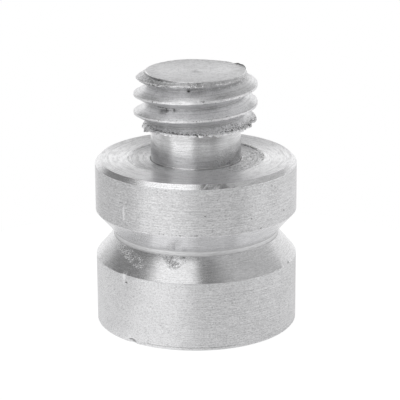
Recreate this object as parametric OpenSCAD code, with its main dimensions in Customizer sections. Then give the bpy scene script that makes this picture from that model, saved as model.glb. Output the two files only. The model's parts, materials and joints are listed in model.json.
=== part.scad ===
// Thread adapter: a stud with a coarse inch thread on a round body, turned from one piece of bar.
// The body has a V-groove for a locking screw and a blind tapped hole in its seat.
// Millimetres, +Z up, origin at the middle of the seat that the adapter stands on.

/* [Body] */
// Diameter of the bar that the body is turned from
body_d = 25.4; // [23:0.1:32]
// Height of the body, from its seat to its shoulder
body_h = 21.2; // [20:0.1:28]
// Width of the chamfer round the seat
seat_chamfer = 0.15; // [0.1:0.05:1]
// Width of the chamfer round the shoulder
shoulder_chamfer = 0.55; // [0.3:0.05:1]

/* [Locking groove] */
// Height of the middle of the groove's root above the seat
groove_z = 11.8; // [9:0.05:12.5]
// Depth of the groove below the wall of the body
groove_depth = 2.25; // [1:0.05:3]
// Width of the flat that the nose of the tool leaves at the root
groove_root_w = 0.75; // [0.2:0.05:1]
// Height of the lower flank, which a locking screw pulls down on
groove_lower_h = 2.7; // [1.5:0.05:4]
// Height of the upper flank
groove_upper_h = 2.55; // [1.5:0.05:4]

/* [Shoulder] */
// Diameter of the ring where the second facing cut ended on the shoulder
ring_d = 16.8; // [15.6:0.1:20]
// Depth of the face inside the ring below the rest of the shoulder
ring_depth = 0.12; // [0.05:0.01:0.4]

/* [Stud] */
// Diameter over the crests of the thread
stud_d = 15.5; // [15.4:0.05:17]
// Length of the threaded part, with its end chamfer
thread_len = 6.3; // [5:0.1:14]
// Height of the relief neck between the shoulder and the thread
neck_h = 4.8; // [4:0.1:8]
// Diameter of the relief neck
neck_d = 11.3; // [10:0.1:11.9]
// Radius where the neck runs into the shoulder
neck_fillet = 0.15; // [0.1:0.05:1]
// Diameter of the flat end face
end_d = 12.4; // [11:0.1:13.5]
// Height of the chamfer at the end of the stud
end_chamfer_h = 1.05; // [0.5:0.05:1.5]

/* [Stud thread] */
// Pitch of the thread, eleven turns to the inch
pitch = 2.309; // [2.1:0.001:2.4]
// Angle between the two flanks
flank_angle = 60; // [50:1:60]
// Share of the pitch that stays as flat crest
crest_share = 0.125; // [0.1:0.005:0.2]
// Width of the flat that the nose of the threading tool leaves at the root
thread_root_w = 0.1; // [0.05:0.01:0.4]
// Direction, from the +X axis, where the groove runs out of the thread's lower face
runout_angle = 181; // [0:1:359]

/* [Tapped hole] */
// Diameter of the hole that the tap followed, for a three-eighths inch thread
hole_d = 7.94; // [6.5:0.01:9]
// Depth of the full diameter from the seat
hole_depth = 14; // [8:0.1:15]
// Diameter of the countersink at the mouth
countersink_d = 10.2; // [9.4:0.1:12]
// Angle of the drill's point
drill_angle = 118; // [90:1:140]
// Angle of the countersink
countersink_angle = 90; // [60:1:120]

/* [Hidden] */

// Facets of the turned surfaces
$fn = 96;
// Steps in one turn of the helical cut
turn_steps = 48;
// How far a cut runs past the surface that it opens
clear = 0.5;
// How far the flanks of the helical cut keep their slope past the crests
flank_over = 0.1;
// Colour of the machined metal
aluminium = [0.78, 0.78, 0.79];

body_r = body_d / 2;
neck_r = neck_d / 2;
stud_r = stud_d / 2;

// Heights along the axis
groove_root_lower_z = groove_z - groove_root_w / 2;
groove_root_upper_z = groove_z + groove_root_w / 2;
ring_face_z = body_h - ring_depth;
thread_z = body_h + neck_h;
end_z = thread_z + thread_len;

// Half widths of the helical cut, at the crests, at the root and at its outer edges, and its depth
flank_slope = tan(flank_angle / 2);
cut_crest = pitch * (1 - crest_share) / 2;
cut_root = thread_root_w / 2;
cut_outer = cut_crest + flank_over * flank_slope;
thread_depth = (cut_crest - cut_root) / flank_slope;

// Half of the turned outline, from the axis outwards and round the metal
function blank_outline() = [
    [0, 0],
    [body_r - seat_chamfer, 0],
    [body_r, seat_chamfer],
    [body_r, groove_root_lower_z - groove_lower_h],
    [body_r - groove_depth, groove_root_lower_z],
    [body_r - groove_depth, groove_root_upper_z],
    [body_r, groove_root_upper_z + groove_upper_h],
    [body_r, body_h - shoulder_chamfer],
    [body_r - shoulder_chamfer, body_h],
    [ring_d / 2, body_h],
    [ring_d / 2 - ring_depth, ring_face_z],
    [neck_r, ring_face_z],
    [neck_r, thread_z],
    [stud_r, thread_z],
    [stud_r, end_z - end_chamfer_h],
    [end_d / 2, end_z],
    [0, end_z]
];

// Section of the fillet between the neck and the face inside the ring
module neck_fillet_section() {
    difference() {
        translate([neck_r - clear, ring_face_z - clear])
            square(neck_fillet + clear);
        translate([neck_r + neck_fillet, ring_face_z + neck_fillet])
            circle(r = neck_fillet);
    }
}

// What the lathe leaves before the thread is cut
module turned_blank() {
    rotate_extrude() {
        polygon(blank_outline());
        neck_fillet_section();
    }
}

// Section of the helical cut, as radius and height about its own middle
function cut_section() = [
    [stud_r - thread_depth, -cut_root],
    [stud_r + flank_over, -cut_outer],
    [stud_r + clear, -cut_outer],
    [stud_r + clear, cut_outer],
    [stud_r + flank_over, cut_outer],
    [stud_r - thread_depth, cut_root]
];

// The section carried up a helix, from the open below the thread to the open above it
module thread_cut() {
    section = cut_section();
    n = len(section);
    below = ceil((cut_outer + clear) / pitch * turn_steps);
    above = ceil((thread_len + cut_outer + clear) / pitch * turn_steps);
    steps = below + above;
    points = [
        for (i = [0:steps])
            let (turn = (i - below) / turn_steps, a = runout_angle + 360 * turn)
                for (p = section) [p[0] * cos(a), p[0] * sin(a), thread_z + pitch * turn + p[1]]
    ];
    sides = [
        for (i = [0:steps - 1], k = [0:n - 1])
            let (low = i * n, high = low + n, next = (k + 1) % n)
                each [[low + k, high + next, high + k], [low + k, low + next, high + next]]
    ];
    first_end = [for (k = [n - 1:-1:0]) k];
    last_end = [for (k = [0:n - 1]) steps * n + k];
    polyhedron(points, concat(sides, [first_end, last_end]));
}

// The blind hole in the seat: a countersunk mouth, a drilled wall and the drill's point
module tapped_hole() {
    hole_r = hole_d / 2;
    mouth_r = countersink_d / 2;
    mouth_h = (mouth_r - hole_r) / tan(countersink_angle / 2);
    point_h = hole_r / tan(drill_angle / 2);
    rotate_extrude()
        polygon([
            [0, -clear],
            [mouth_r, -clear],
            [mouth_r, 0],
            [hole_r, mouth_h],
            [hole_r, hole_depth],
            [0, hole_depth + point_h]
        ]);
}

module turned_adapter() {
    color(aluminium)
        difference() {
            turned_blank();
            thread_cut();
            tapped_hole();
        }
}

turned_adapter();
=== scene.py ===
import json
import math

import bmesh
import bpy
import numpy as np
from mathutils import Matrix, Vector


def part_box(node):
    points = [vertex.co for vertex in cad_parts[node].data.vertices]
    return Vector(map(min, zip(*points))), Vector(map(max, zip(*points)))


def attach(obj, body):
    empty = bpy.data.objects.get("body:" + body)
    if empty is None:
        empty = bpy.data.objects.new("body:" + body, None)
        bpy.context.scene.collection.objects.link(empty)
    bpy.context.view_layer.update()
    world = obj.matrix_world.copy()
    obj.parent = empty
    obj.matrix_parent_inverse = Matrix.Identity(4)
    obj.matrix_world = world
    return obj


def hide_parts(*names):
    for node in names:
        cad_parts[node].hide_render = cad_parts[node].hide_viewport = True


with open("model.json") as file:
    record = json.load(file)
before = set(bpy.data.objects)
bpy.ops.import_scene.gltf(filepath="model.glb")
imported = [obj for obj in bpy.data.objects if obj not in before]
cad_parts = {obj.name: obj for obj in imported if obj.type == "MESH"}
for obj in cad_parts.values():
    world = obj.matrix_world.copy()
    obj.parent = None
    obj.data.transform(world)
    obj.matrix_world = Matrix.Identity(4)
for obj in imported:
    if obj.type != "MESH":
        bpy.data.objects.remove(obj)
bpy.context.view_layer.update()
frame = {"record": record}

# Body: the seat, the two lands and the locking groove between them.
# One-inch aluminium bar, turned to size with a fine feed. The groove takes the point of a locking screw.
# All surfaces are rings round the axis, in millimetres, and are sewn into one closed skin at the end.

MM = 0.001
COLUMNS = 348
FIRST_COLUMN = 90.0

node_low, node_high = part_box("turned_adapter")
body_r = (node_high.x - node_low.x) / 2 / MM
end_z = node_high.z / MM
mounts = {m["name"]: m for m in frame["record"]["mounts"]}
groove_z = mounts["locking_groove"]["pos_m"][2] / MM

seat_chamfer = 0.15
groove_depth = 2.25
groove_root_w = 0.75
groove_lower_h = 2.7
groove_upper_h = 2.55
shoulder_z = 21.2
shoulder_chamfer = 0.55
land_step = 0.5
flank_step = 0.35

skin = []


def eased(outline, steps=4):
    """Turns each corner (radius, height, easing) of an outline into a small arc."""
    points = []
    for i, (r, z, ease) in enumerate(outline):
        corner = np.array([r, z], float)
        if ease == 0 or i in (0, len(outline) - 1):
            points.append(corner)
            continue
        back = np.array(outline[i - 1][:2]) - corner
        ahead = np.array(outline[i + 1][:2]) - corner
        back /= np.linalg.norm(back)
        ahead /= np.linalg.norm(ahead)
        turn = math.pi - math.acos(np.clip(back @ ahead, -1, 1))
        reach = ease * math.tan(turn / 2)
        middle = corner + (back + ahead) / np.linalg.norm(back + ahead) * ease / math.cos(turn / 2)
        start, stop = corner + back * reach - middle, corner + ahead * reach - middle
        for k in range(steps + 1):
            w = k / steps
            points.append(
                middle + (start * math.sin((1 - w) * turn) + stop * math.sin(w * turn)) / math.sin(turn)
            )
    return points


def spaced(points, step, keep=0.08):
    """Adds rows on long straight pieces, with one close to each end."""
    rows = [points[0]]
    for a, b in zip(points, points[1:]):
        length = float(np.linalg.norm(b - a))
        if length > 4 * keep:
            inner = length - 2 * keep
            parts = max(1, math.ceil(inner / step))
            for k in range(parts + 1):
                rows.append(a + (b - a) * (keep + inner * k / parts) / length)
        rows.append(b)
    return rows


def column_angles(columns, closed=True):
    """Directions of the columns, in radians from +X."""
    count = columns if closed else columns + 1
    return np.radians(FIRST_COLUMN + 360.0 * np.arange(count) / columns)


def turned(points, finish, columns=COLUMNS):
    """A closed ring surface from (radius, height) rows."""
    angle = column_angles(columns)
    rows = np.array(points, float)
    grid = np.empty((len(rows), columns, 3))
    grid[..., 0] = rows[:, :1] * np.cos(angle)
    grid[..., 1] = rows[:, :1] * np.sin(angle)
    grid[..., 2] = rows[:, 1:]
    skin.append({"grid": grid, "finish": finish, "closed": True})


groove_low_z = groove_z - groove_root_w / 2 - groove_lower_h
groove_high_z = groove_z + groove_root_w / 2 + groove_upper_h
groove_r = body_r - groove_depth

body_outline = eased([
    (body_r - seat_chamfer - 0.5, 0, 0),
    (body_r - seat_chamfer, 0, 0.05),
    (body_r, seat_chamfer, 0.08),
    (body_r, groove_low_z, 0.05),
    (groove_r, groove_z - groove_root_w / 2, 0.12),
    (groove_r, groove_z + groove_root_w / 2, 0.12),
    (body_r, groove_high_z, 0.06),
    (body_r, shoulder_z - shoulder_chamfer, 0.05),
    (body_r - shoulder_chamfer, shoulder_z, 0.05),
    (body_r - shoulder_chamfer - 0.4, shoulder_z, 0),
])


def between(points, low, high):
    """The part of an outline from one row to another."""
    return points[low:high + 1]


# Each eased corner has five rows. A straight piece runs from the last row of one to the first of the next.
turned(spaced(between(body_outline, 0, 6), 0.2), "seat")
turned(spaced(between(body_outline, 6, 13), land_step), "land")
turned(spaced(between(body_outline, 13, 18), flank_step), "lower_flank")
turned(spaced(between(body_outline, 18, 23), 0.3), "groove_root")
turned(spaced(between(body_outline, 23, 28), flank_step), "upper_flank")
turned(spaced(between(body_outline, 28, 33), land_step), "land")
turned(spaced(between(body_outline, 33, 38), 0.3), "edge_chamfer")
turned(spaced(between(body_outline, 38, 41), 0.3), "shoulder")


class Wire:
    """The output of a shader node. Arithmetic on it adds Math nodes to its tree."""

    def __init__(self, tree, socket=None):
        self.tree = tree
        self.socket = socket

    def node(self, kind, settings=None, sockets=None, output=0):
        made = self.tree.nodes.new("ShaderNode" + kind)
        for name, value in (settings or {}).items():
            setattr(made, name, value)
        for name, value in (sockets or {}).items():
            if isinstance(value, Wire):
                self.tree.links.new(value.socket, made.inputs[name])
            else:
                made.inputs[name].default_value = value
        return Wire(self.tree, made.outputs[output] if made.outputs else None)

    def maths(self, operation, *values):
        return self.node("Math", {"operation": operation}, dict(enumerate(values)))

    def __add__(self, other):
        return self.maths("ADD", self, other)

    def __sub__(self, other):
        return self.maths("SUBTRACT", self, other)

    def __rsub__(self, other):
        return self.maths("SUBTRACT", other, self)

    def __mul__(self, other):
        return self.maths("MULTIPLY", self, other)

    def __truediv__(self, other):
        return self.maths("DIVIDE", self, other)

    def __rtruediv__(self, other):
        return self.maths("DIVIDE", other, self)

    __radd__ = __add__
    __rmul__ = __mul__

    def rise(self, low, high, bottom=0.0, top=1.0):
        """Goes smoothly from bottom to top as this value goes from low to high."""
        return self.node(
            "MapRange",
            {"interpolation_type": "SMOOTHSTEP"},
            {"Value": self, "From Min": low, "From Max": high, "To Min": bottom, "To Max": top},
        )

    def fall(self, low, high):
        """Goes smoothly from 1 to 0 as this value goes from low to high."""
        return self.rise(low, high, 1.0, 0.0)

    def near(self, middle, reach, soft):
        """1 within reach of the middle, falling to 0 over the soft width outside it."""
        off = self.maths("ABSOLUTE", self - middle)
        return off.fall(reach, reach + soft)


class Finish:
    """A bare metal finish: where a point lies, in millimetres, and the shader it ends in."""

    def __init__(self, name):
        self.material = bpy.data.materials.new(name)
        self.material.use_nodes = True
        self.material.node_tree.nodes.clear()
        self.start = Wire(self.material.node_tree)
        place = self.start.node("TexCoord", output="Object")
        self.place = self.start.node(
            "VectorMath", {"operation": "SCALE"}, {0: place, "Scale": 1 / MM}
        )
        self.x = self.start.node("SeparateXYZ", None, {0: self.place}, "X")
        self.y = self.start.node("SeparateXYZ", None, {0: self.place}, "Y")
        self.height = self.start.node("SeparateXYZ", None, {0: self.place}, "Z")
        self.radius = self.start.maths("SQRT", self.x * self.x + self.y * self.y)
        self.azimuth = self.start.maths("ARCTAN2", self.x, 0 - self.y) * math.degrees(1)

    def stretched(self, size, stretch, seed):
        """The place as a texture sees it, in steps of size millimetres, stretched along each axis."""
        return self.start.node(
            "VectorMath",
            {"operation": "MULTIPLY_ADD"},
            {0: self.place, 1: [1 / size / s for s in stretch], 2: [seed, seed * 1.7, seed * 2.3]},
        )

    def noise(self, size, stretch=(1, 1, 1), detail=2.0, seed=0.0):
        """Smooth random values round 0.5, with blobs about size millimetres across."""
        spot = self.stretched(size, stretch, seed)
        return self.start.node("TexNoise", None, {"Vector": spot, "Scale": 1.0, "Detail": detail})

    def chips(self, size, stretch=(1, 1, 1), seed=0.0):
        """Angular chips, size millimetres across: distance from each one's middle, and its random value."""
        spot = self.stretched(size, stretch, seed)
        cell = self.start.node("TexVoronoi", None, {"Vector": spot, "Scale": 1.0}, "Color")
        slope = self.start.node("TexVoronoi", None, {"Vector": spot, "Scale": 1.0}, "Distance")
        return slope, self.start.node("SeparateXYZ", None, {0: cell}, "X")

    def spot(self, azimuth, height, wide, high):
        """1 inside an oval mark and 0 outside it. The half widths are in millimetres at the body's wall."""
        across = (self.azimuth - azimuth) * (math.radians(body_r) / wide)
        along = (self.height - height) / high
        return (across * across + along * along).fall(0.5, 1.2)

    def arcs(self, degrees, width, seed=0.0):
        """Random values in arcs round the axis, so many degrees long and so many millimetres wide."""
        along = (self.azimuth.maths("ABSOLUTE", self.azimuth) + self.x * 3.0) / degrees
        spot = self.start.node("CombineXYZ", None, {0: along, 1: self.radius / width, 2: seed})
        return self.start.node("TexNoise", None, {"Vector": spot, "Scale": 1.0, "Detail": 3.0})

    def lines(self, along, feed, seed=0.0, detail=3.0):
        """Tool lines that run right round, about a feed apart."""
        return self.start.node(
            "TexNoise",
            {"noise_dimensions": "1D"},
            {"W": along / feed + seed, "Scale": 1.0, "Detail": detail},
        )

    def metal(self, shade, roughness, relief, anisotropic, metallic=1.0):
        """Ends the finish. The shade is 0 for black and 1 for clean metal; the relief is in millimetres."""
        colour = self.start.node(
            "Mix", {"data_type": "RGBA"}, {0: shade, 6: (0.0, 0.0, 0.0, 1.0), 7: clean_metal}, 2
        )
        bump = self.start.node("Bump", None, {"Height": relief, "Distance": MM, "Strength": 1.0})
        shader = self.start.node(
            "BsdfPrincipled",
            None,
            {
                "Base Color": colour,
                "Roughness": roughness,
                "Metallic": metallic,
                "Anisotropic": anisotropic,
                "Anisotropic Rotation": 0.25,
                "Normal": bump,
            },
        )
        self.start.node("OutputMaterial", None, {"Surface": shader})
        return self.material


clean_metal = (0.90, 0.90, 0.91, 1.0)
finishes = {}

# Small pits from handling, darkened with painted shade: direction from the front, height, and half widths
land_knocks = (
    (32.0, 16.4, 0.11, 0.08),
    (38.4, 14.95, 0.14, 0.08),
    (58.5, 16.2, 0.13, 0.14),
    (5.0, 17.35, 0.14, 0.06),
    (0.5, 14.9, 0.22, 0.06),
    (-43.6, 14.6, 0.09, 0.16),
    (-43.2, 7.72, 0.24, 0.11),
    (-40.0, 0.42, 0.42, 0.12),
    (47.0, 19.9, 0.14, 0.05),
    (68.0, 6.5, 0.12, 0.07),
)


def land_finish():
    """Fine tool lines right round, broken by smears, with small pits and the marks of handling. Painted
    shade darkens the pits, and painted highlights lighten a scratch and a raised edge.
    """
    f = Finish("turned_land")
    feed_lines = f.lines(f.height, 0.13)
    smears = f.noise(0.085, (9, 9, 1), 3.0)
    speckle = f.noise(0.09, (2.2, 2.2, 1), 2.0, 3.0)
    flecks = f.noise(0.12, (2.5, 2.5, 1), 3.0, 13.0).rise(0.60, 0.72)
    cloud = f.noise(2.2, (1, 1, 0.8), 3.0, 5.0)
    pits = f.noise(0.20, (1.5, 1.5, 1), 1.0, 7.0).rise(0.77, 0.84)
    # The left of the lower land is rubbed smoother
    smooth = f.height.rise(8.0, 9.5, 0.7, 0.0) * f.azimuth.near(-62, 40, 30)
    lined = 1 - smooth
    shade = 1.05 - feed_lines.rise(0.3, 0.7, 0.17, 0.0) * lined
    shade = shade * (1 - smears.rise(0.34, 0.62, 0.19, 0.0) * lined)
    shade = shade * speckle.rise(0.34, 0.62, 0.77, 1.03) * cloud.rise(0.3, 0.7, 0.95, 1.0)
    shade = shade * (1 - flecks * 0.36)
    knocks = pits
    for azimuth, height, wide, high in land_knocks:
        knocks = knocks.maths("MAXIMUM", knocks, f.spot(azimuth, height, wide, high))
    # Broken line above the groove, fine line above the seat, two upright scratches and a raised edge. One
    # scratch and the raised edge are lightened with painted highlights.
    dashes = f.lines(f.azimuth, 1.6, 2.0).rise(0.52, 0.58)
    dashes = dashes * f.height.near(groove_high_z + 0.16, 0.03, 0.05) * f.azimuth.near(-10, 10, 3)
    seam = f.height.near(0.42, 0.02, 0.05) * f.azimuth.near(-4, 22, 8)
    waver = f.azimuth + f.noise(1.4, (1, 1, 1), 2.0, 2.0) * 5.0
    streak = waver.near(-69.5, 0.15, 0.5) * f.height.near(17.8, 2.4, 0.5)
    scratch_and_highlight = (waver * 0.15 + f.azimuth * 0.85).near(-44.0, 0.50, 0.45) * f.height.near(16.65, 0.65, 0.4)
    burr = f.spot(-44.6, 8.35, 0.24, 0.34)
    # The pits are darkened with painted shade
    dark = knocks * 0.6 + dashes * 0.45 + seam * 0.30 + streak * 0.14
    # Painted highlights lighten one scratch and the raised edge
    shade = shade * (1 - dark) + scratch_and_highlight * 0.25 + burr * 0.3
    roughness = 0.34 + smears * 0.10 + knocks * 0.2 - scratch_and_highlight * 0.15
    relief = feed_lines * 0.004 + smears * 0.005 + speckle * 0.005
    relief = relief - knocks * 0.015 - dashes * 0.02 - seam * 0.01 + scratch_and_highlight * 0.07
    return f.metal(shade, roughness, relief, 0.6)


def flank_finish(name, torn, painted_light_gain, streak):
    """A form tool's smooth, shiny cut, with fine lines and torn metal where asked. A painted light gain
    makes the whole flank lighter, and the torn metal carries painted shade and highlights.
    """
    f = Finish(name)
    feed_lines = f.lines(f.height, 0.09, 4.0)
    smears = f.noise(0.08, (14, 14, 1), 3.0, 2.0)
    cloud = f.noise(1.6, (1, 1, 0.6), 3.0, 6.0)
    speckle = f.noise(0.16, (1.6, 1.6, 1), 2.0, 7.0)
    # Painted light: a gain makes the whole flank lighter
    shade = feed_lines.rise(0.3, 0.7, 0.92, 1.0) * cloud.rise(0.3, 0.7, 0.94, 1.0) * painted_light_gain
    shade = shade * smears.rise(0.35, 0.62, 1 - streak, 1.0) * speckle.rise(0.32, 0.62, 0.90, 1.03)
    roughness = 0.18 + smears * 0.14
    relief = feed_lines * 0.002 + smears * 0.004
    metallic = 1.0
    if torn:
        # The tool tore the metal just below the root, in two places on the front left. Its dark threads are
        # painted shade and its pale crumbs are painted highlights.
        below = groove_z - groove_root_w / 2 - f.height
        left = f.azimuth.near(-51, 12, 6) * (below - f.azimuth * 0.045 - 2.9).near(0.0, 0.34, 0.34)
        front = (below - f.azimuth.near(-14, 1, 9) * 1.1).fall(-0.3, 0.4)
        front = front * f.azimuth.near(-17, 8, 5)
        scraps = f.noise(0.22, (1.4, 1.4, 1.0), 5.0, 9.0)
        bits = f.noise(0.17, (1.3, 1.3, 1.0), 4.0, 19.0)
        loose = f.noise(0.9, (1, 1, 1), 1.0, 4.0).rise(0.34, 0.54)
        threads = (scraps.fall(0.37, 0.43) + scraps.near(0.50, 0.010, 0.016) * 0.6) * loose
        threads = threads * (front + left * 0.25)
        crumbs = bits.rise(0.52, 0.58) * (left + front * 0.6) * loose
        # Painted shade on the torn threads, painted highlights on the crumbs
        shade = shade * (1 - threads * 0.60) + crumbs * 0.18
        roughness = roughness + crumbs * 0.2
        relief = relief + crumbs * 0.03 - threads * 0.03
        metallic = 1 - crumbs * 0.5
    return f.metal(shade, roughness, relief, 0.5, metallic)


def root_finish():
    """The flat that the tool's nose leaves: duller than the flanks, with a line of painted shade along each
    edge, and darker towards its lower edge.
    """
    f = Finish("groove_root")
    feed_lines = f.lines(f.height, 0.09, 4.0)
    smears = f.noise(0.10, (8, 8, 1), 3.0, 2.0)
    middle = (f.height - groove_z) + (smears - 0.5) * 0.10
    # Painted shade in the corners along both edges of the root
    edge = middle.rise(0.18, 0.34) * 0.30 + middle.rise(-0.36, -0.22, 0.34, 0.0)
    shade = feed_lines.rise(0.3, 0.7, 0.78, 0.98) * smears.rise(0.3, 0.6, 0.80, 1.0)
    shade = shade * middle.rise(-0.2, 0.15, 0.86, 1.0) * (1 - edge)
    relief = feed_lines * 0.004 + smears * 0.008
    return f.metal(shade, 0.30 + smears * 0.2, relief, 0.5)


def chamfer_finish():
    """Small bevel, cut bright on the left and chattered on the right, with two narrow bands of painted
    shade on the right.
    """
    f = Finish("shoulder_chamfer")
    smears = f.noise(0.12, (9, 9, 1), 3.0, 2.0)
    speckle = f.noise(0.13, (1, 1, 1), 2.0, 3.0)
    chatter = f.lines(f.azimuth - f.height * 6.0 + smears * 3.0, 3.4, 3.0, 1.0).rise(0.40, 0.62)
    chatter = chatter * f.azimuth.near(10, 2, 5)
    shade = smears.rise(0.35, 0.62, 0.86, 1.0) * speckle.rise(0.32, 0.60, 0.84, 1.03)
    # Painted shade: two dark bands, 5 and 15 degrees right of the front
    shade = shade * (1 - f.azimuth.near(5.0, 0.8, 2.0) * 0.34 - f.azimuth.near(15, 1.2, 2.5) * 0.24)
    relief = smears * 0.004 + speckle * 0.006 + chatter * 0.03
    return f.metal(shade, 0.18 + speckle * 0.12, relief, 0.4)


def seat_finish():
    """Faced end: concentric tool lines, rubbed by use."""
    f = Finish("faced_seat")
    feed_lines = f.lines(f.radius, 0.22, 8.0)
    rub = f.noise(0.7, (1, 1, 1), 3.0, 4.0)
    shade = feed_lines.rise(0.3, 0.7, 0.8, 1.0) * rub.rise(0.3, 0.7, 0.85, 1.0)
    return f.metal(shade, 0.32 + rub * 0.12, feed_lines * 0.01, 0.5)


finishes["land"] = land_finish()
# The upper flank is the same cut as the lower, painted 1.18 times lighter
finishes["lower_flank"] = flank_finish("groove_lower_flank", True, 1.0, 0.13)
finishes["upper_flank"] = flank_finish("groove_upper_flank", False, 1.18, 0.20)
finishes["groove_root"] = root_finish()
finishes["edge_chamfer"] = chamfer_finish()
finishes["seat"] = seat_finish()

# Shoulder and relief neck.
# The shoulder is faced in two cuts that end in a ring, and the neck under the thread is necked down
# so that the thread's tool has room to run out. Both are bare metal with tool lines.

ring_r = 8.4
ring_depth = 0.12
neck_r = 5.65
neck_fillet = 0.15
neck_top_z = 26.0
neck_top_fillet = 0.15

neck_outline = eased([
    (body_r - shoulder_chamfer - 0.4, shoulder_z, 0),
    (ring_r, shoulder_z, 0.05),
    (ring_r - ring_depth, shoulder_z - ring_depth, 0.05),
    (neck_r, shoulder_z - ring_depth, neck_fillet),
    (neck_r, neck_top_z, neck_top_fillet),
    (neck_r + neck_top_fillet + 0.05, neck_top_z, 0),
])
turned(spaced(between(neck_outline, 0, 11), 0.5), "shoulder")
turned(spaced(between(neck_outline, 11, 21), 0.4), "neck")


def shoulder_finish():
    """Concentric tool lines, a bruised ring where the cuts meet, and rubbed metal inside it, with painted
    light towards the front.
    """
    f = Finish("faced_shoulder")
    feed_lines = f.lines(f.radius, 0.16, 2.0)
    smears = f.noise(0.5, (1, 1, 1), 3.0, 7.0)
    speckle = f.noise(0.14, (1, 1, 1), 2.0, 8.0)
    inside = (f.radius + (smears - 0.5) * 1.2).fall(ring_r - 0.6, ring_r + 0.3)
    rubbed = inside * f.azimuth.near(74, 32, 16)
    slope, chance = f.chips(0.2, (1, 1, 1), 6.0)
    bruises = f.radius.near(ring_r + 0.05, 0.12, 0.14) * chance.rise(0.5, 0.56)
    bruises = bruises * (f.azimuth.near(88, 42, 12) + f.azimuth.near(-78, 16, 10) * 0.5)
    grit = rubbed * chance.rise(0.62, 0.68)
    grain_lines = f.lines(f.radius, 0.05, 9.0, 2.0)
    wide_lines = f.lines(f.radius, 0.42, 5.0, 1.0)
    scuffs = f.arcs(9.0, 0.42, 3.0)
    shade = feed_lines.rise(0.3, 0.7, 0.88, 1.02) * smears.rise(0.3, 0.7, 0.93, 1.0)
    shade = shade * speckle.rise(0.34, 0.62, 0.78, 1.06) * grain_lines.rise(0.35, 0.65, 0.86, 1.03)
    shade = shade * wide_lines.rise(0.36, 0.62, 0.96, 1.02)
    shade = shade * scuffs.rise(0.34, 0.62, 0.84, 1.08)
    shade = shade * (1 - grit * 0.40)
    # Painted light makes the front lighter; the metal inside the ring is also a little lighter
    shade = shade * (1 - bruises * 0.45) * (1 + (f.azimuth.near(5, 46, 20) * 0.16 + inside * 0.05))
    relief = feed_lines * 0.008 + grain_lines * 0.003 + scuffs * 0.010 + speckle * (rubbed * 0.02 + 0.010)
    relief = relief + (bruises + grit) * (0.03 - slope * 0.06)
    roughness = 0.30 + smears * 0.08 + inside * 0.16
    return f.metal(shade, roughness, relief, 0.75)


def neck_finish():
    """Plunge-cut wall: smooth, with faint lines, and grit in its corner on the right. Painted shade darkens
    its corner, except at the front left, and bands at set directions, with a painted shadow below its top.
    """
    f = Finish("relief_neck")
    feed_lines = f.lines(f.height, 0.12, 6.0)
    smears = f.noise(0.14, (10, 10, 1), 3.0, 5.0)
    speckle = f.noise(0.13, (1, 1, 1), 2.0, 4.0)
    cloud = f.noise(1.1, (1, 1, 0.7), 3.0, 3.0)
    # Painted shade in the corner at the foot of the neck, except at the front left
    corner = (f.height - shoulder_z).fall(-0.08, 0.10) * (1 - f.azimuth.near(-14, 12, 8))
    gritty = (f.height - shoulder_z).fall(0.4, 3.2) * f.azimuth.near(56, 26, 14)
    shade = feed_lines.rise(0.3, 0.7, 0.90, 1.04) * cloud.rise(0.3, 0.7, 0.95, 1.02)
    shade = shade * (1 - speckle.rise(0.46, 0.58) * f.azimuth.near(54, 28, 10) * 0.14)
    shade = shade * smears.rise(0.35, 0.65, 0.87, 1.03) * speckle.rise(0.34, 0.62, 0.88, 1.04)
    # Painted shade: dark bands at set directions from the front, and a painted shadow under the burr below
    # the top
    painted_neck_shade = f.azimuth.near(11, 7, 10) * 0.20 + f.azimuth.near(38, 10, 12) * 0.16
    painted_neck_shade = painted_neck_shade + f.azimuth.near(-40, 6, 8) * 0.16
    painted_neck_shade = painted_neck_shade + (f.height - neck_top_z).rise(-1.9, -1.2) * f.azimuth.near(4, 26, 14) * 0.22
    shade = shade * (1 - corner * smears.rise(0.3, 0.6, 0.7, 0.3)) * (1 - painted_neck_shade)
    shade = shade * (1 - gritty * speckle.rise(0.48, 0.58) * 0.4)
    relief = feed_lines * 0.004 + smears * 0.007 + speckle * 0.005 + gritty * speckle * 0.02
    roughness = 0.16 + smears * 0.10 + corner * 0.4
    return f.metal(shade, roughness, relief, 0.4)


finishes["shoulder"] = shoulder_finish()
finishes["neck"] = neck_finish()

# Threaded stud.
# Five-eighths inch coarse thread with 11 turns to the inch, screw-cut with a single-point tool.
# The tool left torn metal on the crests and a ragged burr round the lower rim.

pitch = 2.309
stud_r = 7.75
flank_slope = math.tan(math.radians(30))
cut_crest = pitch * 0.875 / 2
cut_root = 0.05
thread_depth = (cut_crest - cut_root) / flank_slope
runout_angle = 181.0
end_r = 6.2
end_chamfer_h = 1.05
chamfer_slope = (stud_r - end_r) / end_chamfer_h
end_ease_h = 0.06
thread_low_z = neck_top_z
thread_high_z = end_z - end_ease_h

# Rows of one half of the cut, from the middle of its root to the middle of the crest
half_rows = [0.0, 0.04, 0.08, 0.13, 0.25, 0.4, 0.55, 0.7, 0.85, 0.965, 0.995, 1.02, 1.05, 1.1]


def ramp(value, start, soft):
    """0 below the start and rising one for one above it, with a soft corner."""
    off = value - start
    corner = (off + soft) ** 2 / (4 * soft)
    return np.where(off < -soft, 0.0, np.where(off > soft, off, corner))


def groove_middle(angle_deg):
    """Height of the middle of the cut at a direction from +X."""
    return thread_low_z + pitch * (angle_deg - runout_angle) / 360


def thread_phase(angle_deg, z):
    """Height above the nearest middle of the cut."""
    off = z - groove_middle(angle_deg)
    return off - pitch * np.round(off / pitch)


def thread_radius(phase):
    """Radius of the cut thread, with an eased root and crest."""
    off = np.abs(phase)
    rise = ramp(off, cut_root, 0.04) - ramp(off, cut_crest, 0.035)
    return stud_r - thread_depth + rise / flank_slope


def chamfered(radius, z):
    """Radius inside the chamfer at the end of the stud."""
    return np.minimum(radius, end_r + (end_z - z) * chamfer_slope)


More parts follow.
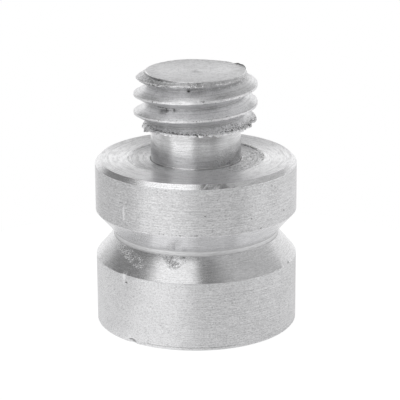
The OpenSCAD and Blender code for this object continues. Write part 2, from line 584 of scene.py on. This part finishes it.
def from_front(angle_deg):
    """Direction from the front in degrees, positive to the right, for a direction from +X."""
    return (angle_deg + 270) % 360 - 180


def grain(points, size, seed):
    """Smooth random values from -1 to 1 at points in millimetres, the same in every run."""
    spot = points / size + seed * 17.37
    cell = np.floor(spot).astype(np.int64)
    part = spot - cell
    part = part * part * (3 - 2 * part)
    total = np.zeros(points.shape[:-1])
    for corner in range(8):
        step = np.array([corner & 1, corner >> 1 & 1, corner >> 2 & 1])
        c = cell + step
        key = (c[..., 0] * 73856093) ^ (c[..., 1] * 19349663) ^ (c[..., 2] * 83492791)
        key = ((key ^ (key >> 13)) * 1274126177) & 0x7FFFFFFF
        weight = np.prod(np.where(step, part, 1 - part), axis=-1)
        total += (key / 0x3FFFFFFF - 1) * weight
    return total


def rim_wear(angle_deg, z):
    """How far the metal is broken away above the lower rim, most on the right."""
    side = from_front(angle_deg)
    ring = np.radians(angle_deg)
    spots = np.stack([stud_r * np.cos(ring), stud_r * np.sin(ring), ring * 0], axis=-1)
    chipped = np.interp(side, (-180, 20, 45, 72, 95, 180), (0.03, 0.05, 0.34, 0.52, 0.12, 0.03))
    chipped = chipped * (1 + 0.7 * grain(spots, 0.5, 21)) + 0.05 * np.abs(grain(spots, 0.25, 22))
    return chipped * np.clip(1 - (z - thread_low_z) / 0.7, 0, 1)


phases = sorted({-s for s in half_rows} | set(half_rows) | {pitch / 2})
row_z = []
for turn in range(-2, 5):
    for s in phases:
        z = groove_middle(FIRST_COLUMN) + turn * pitch + s
        if thread_low_z - pitch - 0.3 < z < thread_high_z + 0.3:
            row_z.append(z)
turns = np.arange(COLUMNS + 1) / COLUMNS
angles = column_angles(COLUMNS, closed=False)
thread_z = np.clip(np.array(row_z)[:, None] + pitch * turns, thread_low_z, thread_high_z)
phase = thread_phase(np.degrees(angles)[None, :], thread_z)
smooth_r = chamfered(thread_radius(phase), thread_z) - rim_wear(np.degrees(angles), thread_z)
spots = np.stack([smooth_r * np.cos(angles), smooth_r * np.sin(angles), thread_z], axis=-1)

# Torn crests: small waves and chips, held off the two end faces
off = np.abs(phase)
crest = np.clip((off - 0.86) / 0.14, 0, 1)
held = np.clip((thread_z - thread_low_z) / 0.25, 0, 1) * np.clip((thread_high_z - thread_z) / 0.2, 0, 1)
waves = grain(spots, 0.5, 3) * 0.02 + grain(spots, 0.2, 4) * 0.014
chips = np.clip(grain(spots * [1, 1, 2], 0.45, 7) - 0.35, 0, 1) * 0.22
torn_r = smooth_r + held * crest * (np.minimum(waves, 0.0) - chips * 0.5)

# Flakes that stand out along the edge of the end chamfer
edge_gap = end_r + (end_z - thread_z) * chamfer_slope - thread_radius(phase)
side = from_front(np.degrees(angles))
flaked = np.interp(side, (-70, -62, -10, -4, 6, 40, 46), (0, 1, 1, 0.3, 0.5, 0.5, 0))
flaked = flaked * np.clip(1.3 - np.abs(edge_gap + 0.04) / 0.12, 0, 1) * (thread_z > end_z - 1.5)
torn_r = torn_r + held * flaked * np.clip(grain(spots * [1, 1, 0.4], 0.42, 51) + 0.15, 0, 1) * 0.30
spots = np.stack([torn_r * np.cos(angles), torn_r * np.sin(angles), thread_z], axis=-1)
spots[..., 2] += held * crest * grain(spots, 0.3, 9) * 0.035
skin.append({"grid": spots, "finish": "thread", "closed": False})

# Ragged burr on the lower rim. On the left the last thin sliver of thread is curled out and down.
ring_angles = column_angles(COLUMNS)
ring_deg = np.degrees(ring_angles)
side = from_front(ring_deg)
rim_r = thread_radius(thread_phase(ring_deg, np.full(COLUMNS, thread_low_z)))
rim_r = rim_r - rim_wear(ring_deg, thread_low_z)
rim_spots = np.stack([stud_r * np.cos(ring_angles), stud_r * np.sin(ring_angles), ring_angles * 0], axis=-1)
coarse, fine = grain(rim_spots, 0.8, 12), grain(rim_spots, 0.28, 13)
# Directions from the front, and how far the burr hangs down and stands out there
burr_side = (-180, -125, -100, -80, -55, -40, -25, 0, 40, 80, 130, 180)
hang = np.interp(side, burr_side, (0.10, 0.15, 0.42, 0.55, 0.45, 0.38, 0.34, 0.33, 0.28, 0.20, 0.12, 0.10))
out_by = (0.06, 0.10, 0.45, 0.75, 0.95, 0.85, 0.40, 0.18, 0.08, 0.05, 0.06, 0.06)
out_by = np.interp(side, burr_side, out_by)
hang = np.clip(hang * (1 + 0.45 * coarse + 0.5 * fine), 0.03, 0.75)
out_by = out_by * (1 + 0.15 * coarse + 0.12 * fine) + 0.05 * fine
ribbon = np.interp(side, (-32, -20, 38, 52), (0, 1, 1, 0))
inner_r = neck_r + neck_top_fillet + 0.05
flat_z = np.full(COLUMNS, thread_low_z)
face_r = rim_r - 0.2
rim_rows = [(inner_r + (face_r - inner_r) * t, flat_z) for t in (0, 0.5, 1)]
rim_rows += [
    (rim_r - 0.08 + out_by * 0.1, thread_low_z - hang * 0.40),
    (rim_r - 0.02 + out_by * 0.55, thread_low_z - hang * 0.85),
    (rim_r + out_by, thread_low_z - hang),
    (rim_r + 0.02 + out_by * (0.75 + 0.25 * ribbon), thread_low_z - hang * (0.62 - 0.12 * ribbon)),
    (rim_r + 0.02 + out_by * 0.35, thread_low_z - hang * 0.22),
    (rim_r, flat_z),
]


def ring_grid(rows):
    """Points of rings whose radius and height have a value for each column."""
    return np.array([
        np.stack([r * np.cos(ring_angles), r * np.sin(ring_angles), z], axis=-1) for r, z in rows
    ])


rim_grid = ring_grid(rim_rows)
skin.append({"grid": rim_grid[:3], "finish": "thread", "closed": True})
skin.append({"grid": rim_grid[2:], "finish": "burr", "closed": True})

# End face with the pip that the parting tool left, and a thin lip that stands up on its rim
end_flat_r = end_r - 0.35
lip_side = (-180, -95, -85, -40, -30, 90, 96, 108, 122, 128, 180)
lip = np.interp(side, lip_side, (0.01, 0.01, 0.03, 0.03, 0.01, 0.01, 0.13, 0.17, 0.15, 0.01, 0.01))
lip = lip * (1 + 0.30 * grain(rim_spots, 0.4, 31)) + 0.008 * grain(rim_spots, 0.5, 32)
lip_out = np.clip(lip - 0.05, 0, 1) * 1.1
waver = 0.03 * grain(rim_spots, 0.6, 33)
top_r = chamfered(thread_radius(thread_phase(ring_deg, np.full(COLUMNS, thread_high_z))), thread_high_z)
# At the back the thread runs out through the end, and takes the rim with it
waver = waver + np.minimum(top_r - end_r - end_ease_h * chamfer_slope, 0)
lip_rows = [
    (top_r, np.full(COLUMNS, thread_high_z)),
    (end_r + 0.05 + waver + lip_out * 0.7, end_z - 0.02 + lip * 0.6),
    (end_r + 0.03 + waver + lip_out, end_z + lip),
    (end_r - 0.02 + waver + lip_out * 0.8, end_z - 0.004 + lip * 0.35),
    (end_r - 0.09 + waver, np.full(COLUMNS, end_z)),
    (np.full(COLUMNS, end_flat_r), np.full(COLUMNS, end_z)),
]
lip_grid = ring_grid(lip_rows)
skin.append({"grid": lip_grid[:4], "finish": "lip", "closed": True})
skin.append({"grid": lip_grid[3:], "finish": "end_face", "closed": True})
end_rows = (5.6, 4.6, 3.6, 2.6, 1.6, 0.9)
pip_rows = ((0.62, 0.005), (0.42, 0.03), (0.2, 0.05), (0.0, 0.055))
turned(
    [(end_flat_r, end_z)] + [(r, end_z) for r in end_rows] + [(r, end_z + h) for r, h in pip_rows],
    "end_face",
)


# Torn pits in the roots of the thread, darkened with painted shade: direction from the front, height, and
# half widths
thread_pits = (
    (-35.0, 28.72, 0.40, 0.17),
    (-25.5, 28.78, 0.32, 0.13),
    (-48.0, 28.92, 0.50, 0.08),
    (-7.5, 31.12, 0.50, 0.09),
)


def thread_finish():
    """Cut flanks with lines along the helix, torn in places along the crests and the root. Painted shade
    darkens the roots, the pits and bands on the chamfer; painted highlights lighten part of a crest, the
    flakes and glints on the chamfer.
    """
    f = Finish("cut_thread")
    # Height less the rise of the thread, which stays the same along a line of the tool
    helix = f.height - f.azimuth * (pitch / 360)
    feed_lines = f.lines(helix, 0.11, 3.0)
    smears = f.noise(0.12, (6, 6, 1), 3.0, 1.0)
    speckle = f.noise(0.14, (1.2, 1.2, 1), 2.0, 12.0)
    cloud = f.noise(1.2, (1, 1, 1), 2.0, 9.0)
    turns_up = (helix - (thread_low_z - pitch * (90 + runout_angle) / 360)) / pitch
    from_root = f.start.maths("PINGPONG", turns_up, 0.5) * pitch
    # Painted shade in the roots of the thread
    painted_root_shade = from_root.fall(0.02, 0.26)
    shreds = f.noise(0.24, (1.6, 1.6, 1.0), 4.0, 21.0)
    # Tears and pits, darkened with painted shade
    tears = f.spot(-41.5, 28.84, 1.25, 0.17) * shreds.rise(0.44, 0.54)
    for azimuth, height, wide, high in thread_pits:
        tears = tears.maths("MAXIMUM", tears, f.spot(azimuth, height, wide, high) * shreds.rise(0.36, 0.46))
    slivers = f.noise(0.20, (1.8, 1.8, 1), 3.0, 15.0)
    # Painted highlight on part of a crest at the front
    crest_highlight = from_root.rise(0.76, 0.86) * f.azimuth.near(-12, 14, 8) * f.height.near(29.95, 0.6, 0.2)
    crest_highlight = crest_highlight * slivers.rise(0.36, 0.60)
    # How far a point lies inside the edge between the thread's flank and the chamfer
    chamfer_edge = (end_z - f.height) * chamfer_slope + end_r - (stud_r - thread_depth)
    chamfer_edge = chamfer_edge - (from_root - cut_root) / flank_slope
    # Flakes along the chamfer's edge, painted white as highlights
    flakes_and_highlight = f.azimuth.near(-34, 26, 6) * slivers.rise(0.43, 0.48)
    flakes_and_highlight = flakes_and_highlight + f.azimuth.near(20, 22, 6) * slivers.rise(0.54, 0.58)
    below_end = end_z - f.height
    flakes_and_highlight = flakes_and_highlight * chamfer_edge.near(-0.26, 0.26, 0.08) * below_end.fall(1.2, 1.4)
    above_rim = f.height - thread_low_z
    low = above_rim.fall(0.45, 0.9)
    scored = f.noise(0.13, (1.2, 1.2, 3.2), 4.0, 33.0)
    right = f.azimuth.rise(14, 40) * f.azimuth.fall(100, 120)
    grit = low * scored.fall(0.40, 0.52) * (right * 0.95 + 0.34)
    toothed = above_rim.fall(0.05, 0.40) * scored.fall(0.44, 0.54)
    toothed = toothed * (right * 0.7 + 0.3)
    nicks = from_root.rise(0.80, 0.92) * f.noise(0.30, (1.4, 1.4, 0.8), 2.0, 41.0).rise(0.64, 0.68)
    on_chamfer = below_end.fall(0.9, 1.1)
    # A line of painted shade along the rim on the left
    painted_rim_shade = below_end.fall(0.12, 0.20) * f.azimuth.near(-58, 28, 10)
    shade = feed_lines.rise(0.3, 0.7, 0.90, 1.04) * smears.rise(0.3, 0.6, 0.90, 1.03)
    shade = shade * speckle.rise(0.34, 0.60, 0.84, 1.04) * cloud.rise(0.3, 0.7, 0.92, 1.03)
    shade = shade * (1 - painted_root_shade * 0.30) * (1 - tears * 0.80) * (1 - grit * 0.42) * (1 - nicks * 0.5)
    # Painted shade: dark bands on the chamfer at the front and on the left
    painted_chamfer_shade = f.azimuth.near(0, 6, 5) * 0.20 + f.azimuth.near(-46, 4, 7) * 0.24
    shade = shade * (1 - on_chamfer * painted_chamfer_shade)
    # Glints on the chamfer are painted highlights
    glints = on_chamfer * f.noise(0.17, (1.2, 1.2, 1), 3.0, 26.0).rise(0.52, 0.60)
    shade = shade * (1 - painted_rim_shade * 0.42) * (1 - toothed * 0.72)
    shade = shade * (1 - on_chamfer * speckle.rise(0.44, 0.54) * 0.26)
    shade = shade * (1 - flakes_and_highlight) + (flakes_and_highlight + glints * 0.3) * 1.1 + crest_highlight * 0.14
    relief = feed_lines * 0.004 + smears * 0.006 + speckle * 0.010 - tears * 0.05
    relief = relief - flakes_and_highlight * (chamfer_edge + 0.55) * 0.6 + low * scored * (right * 0.04 + 0.01)
    relief = relief + on_chamfer * speckle * 0.03 + glints * 0.04
    roughness = 0.32 + smears * 0.12 - flakes_and_highlight * 0.12 - crest_highlight * 0.10 + low * 0.1
    return f.metal(shade, roughness, relief, 0.3)


def burr_finish():
    """Torn rim: patchy painted shade where it hangs off the thread, less on the right, black painted shade
    in patches at the front, and a painted highlight on its lower edge.
    """
    f = Finish("torn_burr")
    scraps = f.noise(0.16, (1, 1, 1.8), 4.0, 14.0)
    slope, chance = f.chips(0.18, (1, 1, 1.8), 5.0)
    front = f.azimuth.near(-4, 26, 14)
    # Painted highlight on the lower edge of the burr
    tip_highlight = (thread_low_z - f.height).rise(0.12, 0.18) * (front * 0.7 + 0.3) * scraps.rise(0.34, 0.40)
    # Black painted shade in patches at the front
    black = f.azimuth.near(-12, 20, 8) * scraps.fall(0.46, 0.52) * (1 - tip_highlight)
    # Patchy painted shade over the burr, less on the right
    dark = 0.55 - f.azimuth.near(26, 16, 10) * 0.35
    shade = (1 - scraps.fall(0.42, 0.56) * dark) * (1 - chance.fall(0.20, 0.32) * dark)
    shade = shade * (1 - black * 0.85)
    shade = shade * (1 - tip_highlight) + tip_highlight * 1.2
    relief = scraps * 0.06 * (1 - tip_highlight * 0.8) + slope * 0.03 * (1 - tip_highlight)
    roughness = 0.3 + scraps * 0.2 * (1 - tip_highlight)
    return f.metal(shade, roughness, relief, 0.0)


def lip_finish():
    """Rim of the end: a painted highlight on its edge, with a line of painted shade outside it on the left,
    and a dark curl at the back.
    """
    f = Finish("end_lip")
    scraps = f.noise(0.20, (1, 1, 1), 4.0, 14.0)
    curl = f.azimuth.near(110, 18, 4) * f.height.rise(end_z + 0.01, end_z + 0.05)
    on_left = f.azimuth.near(-52, 28, 10)
    outside = on_left * f.radius.rise(end_r + 0.03, end_r + 0.06)
    edge = on_left * f.radius.near(end_r - 0.03, 0.05, 0.02)
    # On the left: painted shade outside the rim, and a painted highlight with lower roughness on its edge
    shade = scraps.rise(0.40, 0.58, 0.82, 1.02) * (1 - curl * 0.72) * (1 - outside * 0.45) + edge * 0.2
    roughness = 0.34 + scraps * 0.12 - edge * 0.24
    return f.metal(shade, roughness, scraps * 0.03 * (1 - edge), 0.2)


def end_face_finish():
    """Parted end: a pale face crossed by fine rubbed scratches that run all ways, graded darker towards the
    rim by painted shade.
    """
    f = Finish("parted_end")
    feed_lines = f.lines(f.radius, 0.3, 5.0)
    warp = f.noise(1.5, (1, 1, 1), 2.0, 7.0)
    rub = f.noise(0.24, (3.4, 1.2, 1), 4.0, 2.0)
    across = f.noise(0.40, (0.8, 2.6, 1), 3.0, 5.0)
    speckle = f.noise(0.20, (1, 1.6, 1), 2.0, 6.0)
    # Painted shade: the flat face is darker towards its rim
    painted_radial_shade = f.radius.rise(3.5, 6.0, 1.05, 0.93)
    shade = feed_lines.rise(0.3, 0.7, 0.97, 1.0) * rub.rise(0.32, 0.62, 0.80, 1.02)
    shade = shade * across.rise(0.32, 0.6, 0.93, 1.0) * speckle.rise(0.3, 0.6, 0.88, 1.02)
    shade = shade * warp.rise(0.3, 0.7, 0.94, 1.0) * painted_radial_shade
    # The rim is polished on the left, and painted to full brightness as a highlight
    polish_and_highlight = f.radius.rise(end_r - 0.14, end_r - 0.09) * f.azimuth.near(-50, 28, 12)
    shade = shade * (1 - polish_and_highlight) + polish_and_highlight
    relief = (feed_lines * 0.004 + rub * 0.03 + across * 0.012 + speckle * 0.010) * (1 - polish_and_highlight)
    roughness = 0.34 + rub * 0.12 - polish_and_highlight * 0.24
    return f.metal(shade, roughness, relief, 0.2)


finishes["thread"] = thread_finish()
finishes["burr"] = burr_finish()
finishes["lip"] = lip_finish()
finishes["end_face"] = end_face_finish()

# Tapped hole in the seat.
# Blind hole for a three-eighths inch screw with 16 turns to the inch: countersunk, drilled and tapped.
# The thread fades out over the tap's tapered lead, above which the drill's wall and point are left.

hole_r = mounts["tapped_hole"]["dims"]["r_mm"]
hole_pitch = 1.5875
hole_major_r = 4.76
mouth_r = 5.1
hole_wall_z = 14.0
tap_full_z = 9.6
tap_end_z = 12.6
HOLE_COLUMNS = COLUMNS // 4
hole_rows = 10
drill_slope = math.tan(math.radians(118 / 2))

hole_turns = np.arange(HOLE_COLUMNS + 1) / HOLE_COLUMNS
hole_angles = column_angles(HOLE_COLUMNS, closed=False)
steps = np.arange(-hole_rows - 1, int(tap_end_z / hole_pitch * hole_rows) + 2)
hole_z = np.clip(
    hole_pitch * (steps[:, None] / hole_rows + hole_turns), 0, tap_end_z
)
hole_off = hole_z / hole_pitch - hole_turns
hole_cut = 1 - np.abs((hole_off % 1) * 2 - 1)
hole_cut = np.clip(hole_cut * 1.25 - 0.12, 0, 1)
fade = np.clip((tap_end_z - hole_z) / (tap_end_z - tap_full_z), 0, 1)
hole_wall_r = np.maximum(
    hole_r + (hole_major_r - hole_r) * hole_cut * fade, mouth_r - hole_z
)
hole_grid = np.stack(
    [hole_wall_r * np.cos(hole_angles), hole_wall_r * np.sin(hole_angles), hole_z], axis=-1
)
skin.append({"grid": hole_grid, "finish": "hole", "closed": False})
turned(
    [
        (hole_r, tap_end_z),
        (hole_r, hole_wall_z - 0.05),
        (hole_r - 0.03, hole_wall_z + 0.01),
        (hole_r * 0.66, hole_wall_z + hole_r * 0.34 / drill_slope),
        (hole_r * 0.33, hole_wall_z + hole_r * 0.67 / drill_slope),
        (0.0, hole_wall_z + hole_r / drill_slope),
    ],
    "hole",
    HOLE_COLUMNS,
)
seat_inner_r = mouth_r + 0.4
seat_outer_r = body_r - seat_chamfer - 0.5
turned(
    spaced([np.array([seat_inner_r, 0.0]), np.array([seat_outer_r, 0.0])], 1.2), "seat"
)


def hole_finish():
    """Tapped wall: smeared metal, a little dark with cutting oil."""
    f = Finish("tapped_wall")
    smears = f.noise(0.2, (4, 4, 1), 3.0, 1.0)
    shade = smears.rise(0.3, 0.7, 0.7, 1.0)
    return f.metal(shade, 0.34 + smears * 0.12, smears * 0.01, 0.0)


finishes["hole"] = hole_finish()

# The adapter in one skin.
# All rings are sewn into one closed mesh, knocks and nicks from handling are pressed into it,
# and it stands in for the plain CAD solid.

vertices, faces, face_finish = [], [], []
names = list(finishes)
count = 0
for patch in skin:
    grid = patch["grid"]
    rows, columns = grid.shape[:2]
    index = count + np.arange(rows * columns).reshape(rows, columns)
    if patch["closed"]:
        index = np.concatenate([index, index[:, :1]], axis=1)
    quads = np.stack([index[:-1, :-1], index[:-1, 1:], index[1:, 1:], index[1:, :-1]], axis=-1)
    vertices.append(grid.reshape(-1, 3))
    faces.append(quads.reshape(-1, 4))
    face_finish += [names.index(patch["finish"])] * (len(faces[-1]))
    count += rows * columns
vertices = np.concatenate(vertices)
faces = np.concatenate(faces).tolist()

# The mouth of the hole has a quarter of the body's columns, so each of its steps takes five points
outer_ring = column_angles(COLUMNS)
inner_ring = column_angles(HOLE_COLUMNS)
ring_start = len(vertices)
seat_rings = [
    np.stack([r * np.cos(ring), r * np.sin(ring), ring * 0], -1)
    for r, ring in ((seat_inner_r, outer_ring), (mouth_r, inner_ring))
]
vertices = np.concatenate([vertices, *seat_rings])
for k in range(HOLE_COLUMNS):
    outside = [ring_start + (4 * k + j) % COLUMNS for j in range(5)]
    inside = [ring_start + COLUMNS + (k + 1) % HOLE_COLUMNS, ring_start + COLUMNS + k]
    faces.append(outside + inside)
    face_finish.append(names.index("seat"))


def dent(points, azimuth, height, wide, high, depth):
    """Presses a soft-edged dent straight in towards the axis; sizes are half widths."""
    across = np.degrees(np.arctan2(points[:, 0], -points[:, 1])) - azimuth
    arc = np.radians((across + 180) % 360 - 180) * body_r
    reach = np.hypot(arc / wide, (points[:, 2] - height) / high)
    press = depth * np.clip(1.25 - reach, 0, 1) * (np.hypot(points[:, 0], points[:, 1]) > body_r - 0.8)
    outward = points[:, :2] / np.maximum(np.hypot(points[:, 0], points[:, 1]), 1e-6)[:, None]
    points[:, :2] -= outward * press[:, None]


def ragged(points, height, left, right, size, reach, seed):
    """Shifts an edge of the body up and down a little between two directions from the front."""
    side = np.degrees(np.arctan2(points[:, 0], -points[:, 1]))
    fade = np.clip((side - left) / 6, 0, 1) * np.clip((right - side) / 6, 0, 1)
    edge = np.clip(1 - np.abs(points[:, 2] - height) / 0.16, 0, 1)
    edge = edge * (np.hypot(points[:, 0], points[:, 1]) > body_r - 0.3)
    points[:, 2] += grain(points, size, seed) * reach * fade * edge


# Knocks at the upper and lower edge of the lower land, then the edges that the tool left uneven
dent(vertices, -44.0, 8.6, 0.26, 0.50, 0.20)
dent(vertices, -43.2, 7.75, 0.3, 0.2, 0.25)
dent(vertices, -39.0, 0.3, 0.75, 0.35, 0.42)
ragged(vertices, groove_low_z, 42, 80, 0.45, 0.20, 41)
ragged(vertices, groove_low_z, -78, -30, 0.5, 0.05, 42)
ragged(vertices, groove_high_z, -30, 20, 0.4, 0.06, 43)
ragged(vertices, shoulder_z - shoulder_chamfer, 8, 70, 0.45, 0.08, 44)

mesh = bpy.data.meshes.new("thread_adapter")
mesh.from_pydata((vertices * MM).tolist(), [], faces)
for name in names:
    mesh.materials.append(finishes[name])
mesh.polygons.foreach_set("material_index", face_finish)
sewn = bmesh.new()
sewn.from_mesh(mesh)
bmesh.ops.remove_doubles(sewn, verts=sewn.verts, dist=2e-6)
bmesh.ops.dissolve_degenerate(sewn, edges=sewn.edges, dist=1e-6)
bmesh.ops.recalc_face_normals(sewn, faces=sewn.faces)
sewn.to_mesh(mesh)
sewn.free()
mesh.shade_smooth()
mesh.set_sharp_from_angle(angle=math.radians(38))

adapter = bpy.data.objects.new("thread_adapter", mesh)
bpy.context.scene.collection.objects.link(adapter)
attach(adapter, "root")
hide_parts("turned_adapter")

# Table, light tent and camera.
# A white table in a white tent, open above on the right. One soft box hangs over the front left.
# The table shows white to the camera and to the metal, and keeps the shadow of the adapter.

table_mesh = bpy.data.meshes.new("table")
table_r = 0.045
rim = [(table_r * math.cos(a), table_r * math.sin(a), 0) for a in column_angles(96)]
table_mesh.from_pydata(rim, [], [list(range(96))])
table = bpy.data.objects.new("table", table_mesh)
table.location.z = -0.05 * MM
bpy.context.scene.collection.objects.link(table)

white = bpy.data.materials.new("white_table")
white.use_nodes = True
white.node_tree.nodes.clear()
w = Wire(white.node_tree)
on_camera = w.node("LightPath", output="Is Camera Ray")
mirror = w.node("LightPath", output="Is Glossy Ray")
through = w.node("LightPath", output="Is Transmission Ray")
spot = w.node("TexCoord", output="Object")
spot_x = w.node("SeparateXYZ", None, {0: spot}, "X")
spot_y = w.node("SeparateXYZ", None, {0: spot}, "Y")
spot_compass = w.maths("ARCTAN2", spot_x, 0 - spot_y) * math.degrees(1)
# Painted light: the glow of the sheet that the metal mirrors is brighter on the window's side and at the
# back
painted_table_glow = 0.64 + spot_compass.near(-32, 14, 26) * 0.16
painted_table_glow = painted_table_glow + spot_compass.maths("ABSOLUTE", spot_compass).near(180, 80, 40) * 0.06
sheen = w.maths("MAXIMUM", mirror, through) * painted_table_glow
sheet = w.node("BsdfDiffuse", None, {"Color": (0.25, 0.25, 0.25, 1)})
shown = w.maths("MAXIMUM", on_camera * 0.90, sheen)
glow = w.node("Emission", None, {"Color": (1, 1, 1, 1), "Strength": shown})
both = w.node("AddShader", None, {0: sheet, 1: glow})
clear = w.node("BsdfTransparent")
under = w.node("NewGeometry", output="Backfacing")
w.node("OutputMaterial", None, {"Surface": w.node("MixShader", None, {0: under, 1: both, 2: clear})})
table_mesh.materials.append(white)

world = bpy.data.worlds.new("tent")
world.use_nodes = True
world.node_tree.nodes.clear()
bpy.context.scene.world = world
t = Wire(world.node_tree)
direction = t.node("TexCoord", output="Generated")
east = t.node("SeparateXYZ", None, {0: direction}, "X")
north = t.node("SeparateXYZ", None, {0: direction}, "Y")
up = t.node("SeparateXYZ", None, {0: direction}, "Z")
lift = t.maths("MAXIMUM", up, 0.05)
over_x, over_y = east / lift, north / lift
# The soft box, on a plane one unit above the adapter
box = over_x.near(-0.40, 0.36, 0.10) * over_y.near(-0.25, 0.49, 0.20)
# Degrees from the camera's side, positive to the right, as for the marks on the metal
compass = t.maths("ARCTAN2", east, 0 - north) * math.degrees(1)
window = compass.near(-36, 20, 22)
opening = compass.near(24, 24, 20)
left_flag = compass.near(-108, 34, 12)
high_flag = compass.near(-100, 26, 12) * up.rise(0.0, 0.15)
right_flag = compass.near(100, 45, 22)
back = north.rise(0.75, 0.95) * up.rise(0.06, 0.24)
wall = 0.97 + window * 0.14 - opening * 0.30 - left_flag * 0.27 - right_flag * 0.10
wall = wall + back * 0.36 - high_flag * 0.26
roof_side = over_x.rise(0.20, 0.66, 0.23, 0.51)
roof = up.rise(0.32, 0.44)
level = wall * (1 - roof) + roof_side * roof
level = level * (1 - box) + box * 1.18
camera_ray = t.node("LightPath", output="Is Camera Ray")
level = level * (1 - camera_ray) + camera_ray
backdrop = t.node("Background", None, {"Color": (1, 1, 1, 1), "Strength": level})
t.node("OutputWorld", None, {"Surface": backdrop})

camera_data = bpy.data.cameras.new("camera")
camera_data.sensor_width = 36.0
camera_data.lens = 1874.0 / 400 * 36.0
camera_data.clip_start = 0.01
camera_data.clip_end = 10.0
camera = bpy.data.objects.new("camera", camera_data)
camera.location = (0.00050, -0.22666, 0.0861)
camera.rotation_euler = (math.radians(90 - 17.308), 0.0, 0.0)
camera.rotation_euler.rotate_axis("Z", math.radians(-0.27))
bpy.context.scene.collection.objects.link(camera)
bpy.context.scene.camera = camera
bpy.context.scene.view_settings.view_transform = "Standard"
